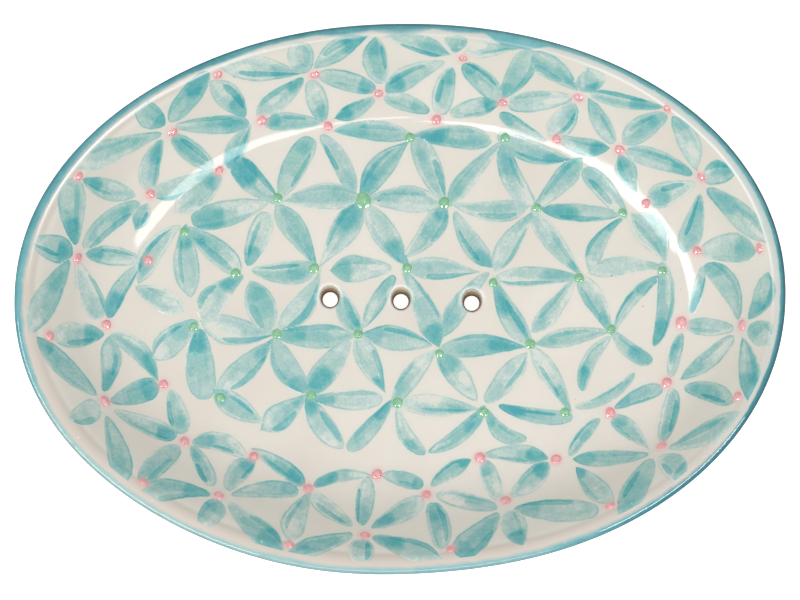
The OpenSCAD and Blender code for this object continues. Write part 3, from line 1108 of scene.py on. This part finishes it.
def beads(items, seed, sink=0.1, around=30):
    """Raised glaze dots as closed, slightly uneven domes: (place, normal, radius, height) each."""
    rng = np.random.default_rng(seed)
    s = Skin()
    crown = []
    prof = [(0.0, 1.0), (0.28, 0.95), (0.5, 0.81), (0.68, 0.61), (0.82, 0.385), (0.92, 0.19), (0.98, 0.06), (1.0, 0.0), (0.985, -0.35)]
    t = np.linspace(0, 2 * np.pi, around, endpoint=False)
    for c, nrm, r, h in items:
        nrm = nrm / np.linalg.norm(nrm)
        x = np.cross([0, 1, 0.02], nrm)
        x /= np.linalg.norm(x)
        y = np.cross(nrm, x)
        w = 1 + 0.05 * np.sin(2 * t + rng.uniform(0, 6.3)) + 0.035 * np.sin(3 * t + rng.uniform(0, 6.3)) + 0.02 * np.sin(5 * t + rng.uniform(0, 6.3))
        lean = rng.normal(0, 0.06, 2)
        hh = h * rng.uniform(0.9, 1.08)
        top = s.add([c + nrm * hh + (x * lean[0] + y * lean[1]) * r])
        crown.append([1.0])
        last = None
        for k, f in prof[1:]:
            up = hh * f if f >= 0 else -sink
            off = (x * lean[0] + y * lean[1]) * r * max(f, 0)
            p = c + nrm * up + off + (np.outer(np.cos(t) * w, x) + np.outer(np.sin(t) * w, y)) * r * k
            ring = s.add(p)
            crown.append([max(f, 0.0)] * around)
            if last is None:
                s.f += [[int(top[0]), int(ring[i]), int(ring[(i + 1) % around])] for i in range(around)]
            else:
                s.quads(last, ring, flip=True)
            last = ring
        s.f.append([int(i) for i in last[::-1]])
    return s, np.concatenate(crown)


FLOOR_DOTS = [(2, 34.5, 1), (21.5, 34.5, 1), (-25, 22, 1), (-7.5, 21.5, 1.6), (9, 21, 1.15), (28, 20, 0.9), (45.5, 19, 0.9), (-44, 15, 0.95), (-33.5, 6.5, 1),
              (-17.5, 7.5, 1.05), (1.5, 7.5, 1), (19, 4.5, 0.95), (36.5, 5.5, 1), (53.5, 7, 0.9), (-42, -4.5, 0.95), (-25, -6, 1.05), (-8.5, -6, 0.95), (8, -10, 0.85),
              (26.5, -8, 1.05), (43, -5, 0.95), (-36.5, -19, 1), (-18, -18.5, 1), (-0.5, -20, 1.1), (17, -22, 1), (33.5, -22, 1)]
WALL_DOTS = [(30, 9, 1), (60, 9.5, 1), (81, 7, 0.9), (105, 9, 1), (134, 9.5, 1), (171, 10, 1.05), (207, 9.5, 1.05), (238, 8, 1), (264, 7, 1.05), (287, 12, 1.05), (319, 9.5, 1.05), (353, 9, 1.05),
             (10, 5, 1), (45, 3.5, 0.9), (120, 4, 1), (153, 4, 1), (189, 5.5, 1.05), (226, 3.5, 0.95), (253, 3.5, 0.95), (277, 4, 1), (304, 4.5, 1.05), (337, 4.5, 1.05),
             (13, 17.5, 0.9), (32, 21, 0.95), (47, 15.5, 1), (60, 19, 0.9), (73, 14.5, 0.85), (85, 19.5, 1.05), (95, 14, 0.9), (106, 19.5, 0.95), (118, 15, 1), (133, 21, 0.9),
             (149, 16, 0.95), (168, 23, 0.9), (188, 15.5, 1), (210, 20, 0.95), (225, 14, 1), (239, 17.5, 0.95), (252, 14.5, 1), (264, 19, 1.05), (273, 15, 0.95), (284, 21.5, 1.1),
             (299, 17.5, 1.05), (316, 21.5, 1.05), (332, 18.5, 1.05), (351, 21.5, 1.25)]


def wall_z(u):
    """Height and slope of the inside at inset u."""
    if u >= RUN:
        return FLOOR, 0.0
    cu = RUN - COVE * math.sin(WALL)
    if u >= cu:
        a = math.asin((RUN - u) / COVE)
        return FLOOR + COVE * (1 - math.cos(a)), a
    zc = FLOOR + COVE * (1 - math.cos(WALL))
    lu = LIP + LIP * math.sin(WALL)
    if u >= lu:
        return zc + (cu - u) * math.tan(WALL), WALL
    a = math.asin(max(-1, min(1, (u - LIP) / LIP)))
    return LIP_C[1] + LIP * math.cos(a), a


def on_wall(deg, u):
    z, _ = wall_z(u)
    a = math.radians(deg)
    p = on_oval(u, z, a)
    e = 0.05
    du = on_oval(u + e, wall_z(u + e)[0], a) - on_oval(u - e, wall_z(u - e)[0], a)
    da = on_oval(u, z, a + 0.01) - on_oval(u, z, a - 0.01)
    n = np.cross(da, -du)
    n = n / np.linalg.norm(n)
    return p, n if n[2] > 0 else -n


DOT_R, DOT_H = 1.0, 0.47
green_items = [(hollow(np.array([x]), np.array([y]), FLOOR)[0], np.array([0, 0, 1.0]), DOT_R * s, DOT_H * (0.75 + 0.25 * s)) for x, y, s in FLOOR_DOTS]
pink_items = []
for deg, u, s in WALL_DOTS:
    p, n = on_wall(deg, u)
    p = inside(p[None], u)[0]
    pink_items.append((p, n, DOT_R * s, DOT_H * (0.75 + 0.25 * s)))



def near_dots(pts, items, reach):
    """How close each point is to the foot of a dot: 1 at the dot, 0 at reach mm outside it."""
    out = np.zeros(len(pts))
    for c, _, r, _ in items:
        near = np.where(np.abs(pts - c).max(1) < r + reach)[0]
        d = np.linalg.norm(pts[near] - c, axis=1)
        out[near] = np.maximum(out[near], np.clip(1 - (d - r * 0.9) / reach, 0, 1) ** 1.5)
    return out


def give(obj, name, values):
    a = obj.data.attributes.new(name, "FLOAT", "POINT")
    a.data.foreach_set("value", np.asarray(values, np.float32))


# where the brush laid the turquoise on the lip, round the dish: (degrees, start of the coat, where it lies full, both in
# mm over the lip from the band's inner edge)
BRUSH = [(0, 0.45, 0.95), (8, 0.55, 0.9), (16, 0.5, 0.85), (24, 0.36, 0.75), (31, 0.2, 0.58), (38, 0.25, 0.75), (45, 0.25, 0.75),
         (51, 0.18, 0.55), (57, 0.43, 0.82), (62, 0.44, 0.7), (67, 0.2, 0.7), (70, -1.9, -1.4), (74, -1.9, -1.4), (77, 0.4, 0.9),
         (81, -0.2, 0.6), (85, 0.4, 0.9), (90, -2.0, 0.6), (94, 0.0, 0.7), (99, -0.7, 0.26), (103, 0.3, 0.85), (113, 0.15, 0.85),
         (118, -0.3, 0.44), (123, 0.15, 0.8), (135, 0, 0.9), (141, 0, 0.9), (149, -0.2, 0.8), (156, -0.2, 0.6),
         (164, 0.05, 0.75), (172, 0.1, 0.75), (180, 0.3, 1.0), (189, 0.42, 1.25), (197, 0.65, 1.0), (205, 0.7, 1.15),
         (212, 0.75, 1.28), (219, 0.8, 1.2), (226, 0.72, 1.32), (232, 0.8, 1.54), (238, 0.78, 1.4), (248, 0.75, 1.5),
         (253, 0.75, 1.1), (257, 0.8, 1.6), (262, 0.82, 1.3), (266, 0.68, 1.35), (270, 0.72, 1.44), (276, 0.62, 1.3),
         (283, 0.65, 1.3), (292, 0.6, 1.4), (297, 0.4, 1.37), (302, 0.4, 1.34), (314, 0.45, 1.38), (327, 0.65, 1.4),
         (335, 0.84, 1.2), (343, 0.64, 1), (351, 0.54, 1.03)]
# how loaded the brush was, in broad terms, with the near side's band also painted paler as painted light where it faces
# the lamps: full at the right, thin at the lower left: (degrees, 0 to 1)
LOAD_AND_LIGHT = [(0, 0.9), (60, 0.6), (90, 0.85), (150, 0.75), (185, 0.6), (210, 0), (250, 0.1), (290, 0.35), (320, 1)]
# how thick the coat ran over the outer edge, together with the painted shade laid on it where it turns away from the
# light: (degrees, 0 to 1)
THICK_AND_SHADE = [(0, 0.55), (20, 0.95), (45, 0.7), (80, 0.5), (110, 0.45), (135, 0.12), (165, 0.03), (185, 0.03), (210, 0), (285, 0), (300, 0.12), (325, 0.28), (345, 0.5)]
# where, and how plainly, the painted white highlight runs along the lip's inner shoulder: (degrees, strength, place)
SHOULDER_HIGHLIGHT = [(0, 0.4, -1.0), (10, 0.75, -1.15), (25, 1, -1.25), (45, 0.85, -1.3), (57, 0.6, -0.95), (66, 0.2, -0.9), (95, 0.2, -0.8), (103, 0.35, -0.78),
        (113, 0.5, -0.5), (126, 0.7, -0.55), (141, 0.95, -0.3), (156, 0.9, -0.22), (168, 0.5, -0.2), (178, 0, -0.2), (350, 0, -1)]


def brush_marks(obj, pts):
    a = np.degrees(np.arctan2(pts[:, 1] / DISH_W, pts[:, 0] / DISH_L)) % 360
    for table, names in ((BRUSH, ("starts_at", "full_at")), (LOAD_AND_LIGHT, ("load_and_light",)), (THICK_AND_SHADE, ("thick_and_shade",)), (SHOULDER_HIGHLIGHT, ("shoulder_highlight", "shoulder_highlight_at"))):
        t = np.array(table + [(360,) + table[0][1:]], float)
        for i, name in enumerate(names):
            give(obj, name, np.interp(a, t[:, 0], t[:, i + 1]))


pts = inner.points()
side = np.zeros(inner.n)
side[:n_front] = 1
paint(inside_obj, side, inner.mark())
brush_marks(inside_obj, pts)
give(inside_obj, "pink", near_dots(pts, pink_items, 1.3) * side)
give(inside_obj, "green", near_dots(pts, green_items, 0.9) * side)
by_hole = np.min([np.hypot(pts[:, 0] - x, pts[:, 1] - y) for x, y in HOLES], 0) < 2.7
give(inside_obj, "hole", np.where(by_hole, np.clip((9.9 - pts[:, 2]) / 1.9, 0, 1), 0))
# a painted highlight: a white ring where the glaze turns down into each drain hole, on the left, the far side and the
# right
hole_highlight = np.zeros(inner.n)
for x, y in HOLES:
    dx, dy = pts[:, 0] - x, pts[:, 1] - y
    at = (np.hypot(dx, dy) < 2.9) & (pts[:, 2] > 9.5)
    hole_highlight[at] += (np.exp(-(((9.93 - pts[:, 2]) / 0.075) ** 2)) * np.clip(0.85 + 1.3 * np.sin(np.arctan2(dy, dx) - 0.25), 0, 1))[at]
give(inside_obj, "mouth", hole_highlight * side)

# rim band: the turquoise coat over the lip, down to 2 mm below it outside
band = Skin(0.0)
skin_out = over_lip(0.0, BAND_A, WALL - math.pi, 26) + outside(0.0, 0.0, 8, 1)[1:9]
skin_in = over_lip(GLAZE, BAND_A, WALL - math.pi, 10) + outside(GLAZE, 0.0, 8, 1)[1:9]


def cut_at(pts, far):
    """The first stretch of a section line, far mm long."""
    d = along(pts)
    d = d - d[0]
    out = [p for p, t in zip(pts, d) if t < far - 0.05]
    j = len(out)
    f = (far - d[j - 1]) / (d[j] - d[j - 1])
    return out + [tuple(np.array(pts[j - 1]) + (np.array(pts[j]) - pts[j - 1]) * f)]


lip_len = LIP * (BAND_A - WALL + math.pi)
skin_out = cut_at(skin_out, lip_len + 2.0)
skin_in = cut_at(skin_in, (LIP - GLAZE) * (BAND_A - WALL + math.pi) + 2.0)
d_out = along(skin_out)
d_out = d_out - d_out[0]
phi_n = 720
first = climb(band, None, skin_out[:1], phi_n, bumps=lift, marks=d_out[:1])
last = climb(band, first, skin_out[1:], phi_n, flip=True, bumps=lift, marks=d_out[1:])
under = climb(band, last, skin_in[::-1], phi_n, flip=True, bumps=lift, marks=[9.0] * len(skin_in))
band.quads(under, first, flip=True)
band_obj = make("turquoise_rim", band, rim_glaze(), 60)
give(band_obj, "rim", band.mark())
brush_marks(band_obj, band.points())

# outer glaze: from the rim band down to the foot
coat = Skin(0.0)
o1 = outside(0.0, 2.0, 16, 26)
o2 = outside(GLAZE, 2.0, 8, 12)
first = climb(coat, None, o1[:1], 480, bumps=lift)
last = climb(coat, first, o1[1:], 480, flip=True, bumps=lift)
back = climb(coat, last, o2[::-1], 480, flip=True, bumps=lift)
coat.quads(back, first, flip=True)
coat_obj = make("outside_glaze", coat, outer, 60)

# foot ring: a coil of bare clay, its corners rubbed round, slightly uneven where it was cut from the wheel
foot = Skin(0.0)


def foot_line():
    half = [(23.3, 0.35), (23.55, 0.08), (23.9, 0.0)]
    return [(22.0, 4.5), (22.12, 4.1), (22.5, 2.9), (22.95, 1.5)] + half + [(24.5, 0.0), (25.1, 0.0)] + [(25.45, 0.08), (25.7, 0.35)] + [(26.05, 1.5), (26.5, 2.9), (26.88, 4.1), (27.0, 4.5)]


def uneven(p, u):
    q = p.copy()
    k = np.clip(p[:, 2] / 0.6, 0, 1) * np.clip((4.4 - p[:, 2]) / 1.0, 0, 1)
    r = np.maximum(np.hypot(p[:, 0], p[:, 1]), 1e-6)
    q[:, :2] *= (1 + 0.10 * ripples(p * [1, 1, 3], 19, 6, 20) * k / r)[:, None]
    return q


fl = foot_line()
first = climb(foot, None, fl[:1], 360, bumps=uneven)
last = climb(foot, first, fl[1:], 360, flip=True, bumps=uneven)
foot.quads(last, first, flip=True)
foot_obj = make("foot_coil", foot, clay, 55)
give(foot_obj, "stain_and_shade", np.zeros(foot.n))

# base glaze: the patch under the floor, inside the foot
base = Skin(0.0)
under_n = 64
bb, br = cap(base, 64, 27.0, lambda x, y: np.stack([x, y, np.full(len(x), FOOT_H - GLAZE) + 0.02 * ripples(np.stack([x, y, x * 0], -1), 23, 8, 20)], -1), 2.9, 32, flip=True)
tb, tr = cap(base, 64, 27.0, lambda x, y: np.stack([x, y, np.full(len(x), FOOT_H)], -1), 2.9, 32)
base.quads(bb, tb, flip=False)
for r1, r2, h in zip(br, tr, HOLES):
    a = mouth(base, r1, *h, [(2.4, 4.105), (2.1, 4.14), (1.9, 4.24), (1.82, 4.36)], 32, flip=True)
    b = mouth(base, r2, *h, [(1.82, 4.5)], 32)
    base.quads(a, b)
base_obj = make("base_glaze_patch", base, outer, 60)

# clay body: what the coats lie on. It shows only inside the drain holes.
body = Skin(0.0)
cb, cr = cap(body, 60, RUN, lambda x, y: hollow(x, y, FLOOR - GLAZE), 2.9, 32)
up = section(GLAZE, 8, 4, BAND_A, 3)
top = climb(body, cb, up, 240, flip=True, bumps=inside)
over = climb(body, top, over_lip(GLAZE, BAND_A, WALL - math.pi, 12)[1:], 240, flip=True, bumps=lift)
down = climb(body, over, outside(GLAZE, 0.0, 8, 12)[1:], 240, flip=True, bumps=lift)
ub, ur = cap(body, 60, RUN, lambda x, y: np.stack([x, y, np.full(len(x), FOOT_H)], -1), 2.9, 32, flip=True)
body.quads(down, ub, flip=True)
for r1, r2, h in zip(cr, ur, HOLES):
    a = mouth(body, r1, *h, [(2.6, 9.5), (2.4, 9.3), (2.2, 8.9), (2.03, 8.4), (1.94, 8.0), (1.91, 7.2), (1.88, 6.4), (1.84, 5.9), (1.74, 5.5), (1.62, 5.25), (1.56, 5.1), (1.55, 4.8), (1.6, 4.6), (1.7, 4.5)], 32)
    body.quads(a, r2)
body_obj = make("pressed_body", body, clay, 50)
bz = body.points()
near_hole = np.min([np.hypot(bz[:, 0] - x, bz[:, 1] - y) for x, y in HOLES], 0) < 2.7
# dark brown low in each drain hole: partly stain, partly painted shade
give(body_obj, "stain_and_shade", np.where(near_hole, np.clip((5.75 - bz[:, 2]) / 0.6, 0, 1), 0))

# dots
gs, gc = beads(green_items, 101)
green_obj = make("green_beads", gs, bead_mat("green_enamel_glass", lin(122, 184, 142), lin(138, 196, 154), lin(164, 212, 176), 111), 70)
give(green_obj, "crown", gc)
ps, pc = beads(pink_items, 202)
pink_obj = make("pink_beads", ps, bead_mat("pink_enamel_glass", lin(230, 150, 156), lin(237, 170, 174), lin(244, 200, 200), 121), 70)
give(pink_obj, "crown", pc)

for o, node, slot in (
    (inside_obj, "inner_glaze", "white_glaze"),
    (band_obj, "rim_band", "teal_glaze"),
    (coat_obj, "outer_glaze", "white_glaze"),
    (foot_obj, "foot_ring", "clay"),
    (base_obj, "base_glaze", "white_glaze"),
    (body_obj, "clay_body", "clay"),
    (green_obj, "green_dots", "green_enamel"),
    (pink_obj, "pink_dots", "pink_enamel"),
):
    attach(o, "root")
    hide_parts(node)

# ---------------------------------------------------------------- ground, light and camera
gm = bpy.data.meshes.new("pale_floor")
gm.from_pydata([(-3, -3, -0.0001), (3, -3, -0.0001), (3, 3, -0.0001), (-3, 3, -0.0001)], [], [(0, 1, 2, 3)])
ground_obj = bpy.data.objects.new("pale_floor", gm)
bpy.context.scene.collection.objects.link(ground_obj)
gm.materials.append(floor_mat())

world = bpy.data.worlds.new("studio")
bpy.context.scene.world = world
world.use_nodes = True
wt = world.node_tree
bg = wt.nodes["Background"]
# an even white studio above, and a darker one below the horizon
up = wt.nodes.new("ShaderNodeSeparateXYZ")
wt.links.new(wt.nodes.new("ShaderNodeTexCoord").outputs["Generated"], up.inputs[0])
sky = wt.nodes.new("ShaderNodeValToRGB")
sky.color_ramp.elements[0].position, sky.color_ramp.elements[0].color = 0.0, (0.46, 0.46, 0.46, 1)
sky.color_ramp.elements[1].position, sky.color_ramp.elements[1].color = 0.12, (1.0, 0.99, 0.985, 1)
wt.links.new(up.outputs[2], sky.inputs[0])
wt.links.new(sky.outputs[0], bg.inputs[0])
bg.inputs[1].default_value = 0.755
ground_obj.visible_glossy = False
ground_obj.visible_diffuse = False


def lamp(name, place, at, size, radiance, colour=(1, 1, 1)):
    """A flat softbox at place (mm), turned to at, of that size and radiance."""
    d = bpy.data.lights.new(name, "AREA")
    d.shape = "RECTANGLE"
    d.size, d.size_y = size[0] / 1000, size[1] / 1000
    d.energy = radiance * math.pi * d.size * d.size_y * 1.0
    d.color = colour
    o = bpy.data.objects.new(name, d)
    bpy.context.scene.collection.objects.link(o)
    o.location = Vector(place) / 1000
    v = Vector(at) / 1000 - o.location
    o.rotation_euler = v.to_track_quat("-Z", "Y").to_euler()
    return o


def seen(o, diffuse=True, glossy=True, only=()):
    o.visible_diffuse, o.visible_glossy = diffuse, glossy
    if only:
        g = bpy.data.collections.new(o.name + "_lights")
        for r in only:
            g.objects.link(r)
        o.light_linking.receiver_collection = g


def panel(name, x, y, w, h, turn, radiance, colour=(1, 1, 1)):
    """A level softbox 800 mm up, facing down, turned about the vertical."""
    o = lamp(name, (x, y, 800), (x, y, 0), (w, h), radiance, colour)
    o.rotation_euler = (0, 0, turn)
    return o


dots = (green_obj, pink_obj)
seen(lamp("front_key", (-150, -900, 900), (0, 0, 10), (700, 500), 5.6), glossy=False)
# two folded strip lights, which the cove shows as its two long reflections
for n, x, y, wide, high, turn, radiance in (
    (1, 88.0, -70.0, 74, 198, 0.08, 7.0), (2, 94.2, -71.7, 82, 188, -0.67, 7.0), (3, -59.6, -26.8, 140, 55.5, -1.03, 9.0), (4, -111.9, 23.8, 219, 52.0, -1.0, 9.0)
):
    seen(panel("strip_%d" % n, x, y, wide, high, turn, radiance, (0.93, 0.97, 1.0)), diffuse=False, only=(inside_obj,) + dots)
seen(lamp("back_fill", (-560, 560, 800), (0, 0, 10), (500, 500), 1.2, (1.0, 0.94, 0.89)), glossy=False)
for n, az, el, wide, high, radiance in ((1, 196, 4.5, 640, 190, 9), (2, 233, 4.5, 660, 190, 10), (3, 272, 5.5, 700, 190, 5), (4, 316, 19, 640, 200, 16)):
    a, z = math.radians(az), 22 + 1000 * math.tan(math.radians(el))
    seen(lamp("low_card_%d" % n, (1000 * math.cos(a), 1000 * math.sin(a), z), (0, 0, 22), (wide, high), radiance), diffuse=False, only=(band_obj,))
seen(lamp("dot_kicker_left", (-578, -689, 480), (0, 0, 10), (420, 460), 24.0), diffuse=False, only=dots)
seen(lamp("dot_kicker_right", (578, -689, 480), (0, 0, 10), (420, 460), 24.0), diffuse=False, only=dots)
for n in range(4):
    a = math.pi / 2 * n
    seen(lamp("outside_fill_%d" % (n + 1), (1000 * math.cos(a), 1000 * math.sin(a), 250), (0, 0, 10), (900, 400), 1.8), glossy=False, only=(coat_obj, foot_obj, base_obj))
seen(lamp("outside_softbox", (-500, -900, 500), (0, 0, 10), (700, 500), 3.0), diffuse=False, only=(coat_obj, foot_obj, base_obj))

cd = bpy.data.cameras.new("photo_camera")
cam = bpy.data.objects.new("photo_camera", cd)
bpy.context.scene.collection.objects.link(cam)
cd.sensor_fit = "HORIZONTAL"
cd.sensor_width = 36.0
cd.lens = FOCAL_PX * 36 / 800
half_px = 0.5 / FOCAL_PX * FAR
cam.location = Vector(EYE - half_px * np.array([1, 0, 0]) + half_px * UP) / 1000
cam.rotation_euler = (TILT, 0, 0)
cd.clip_start, cd.clip_end = 0.01, 20
bpy.context.scene.camera = cam
bpy.context.scene.view_settings.view_transform = "Standard"
bpy.context.scene.view_settings.look = "None"
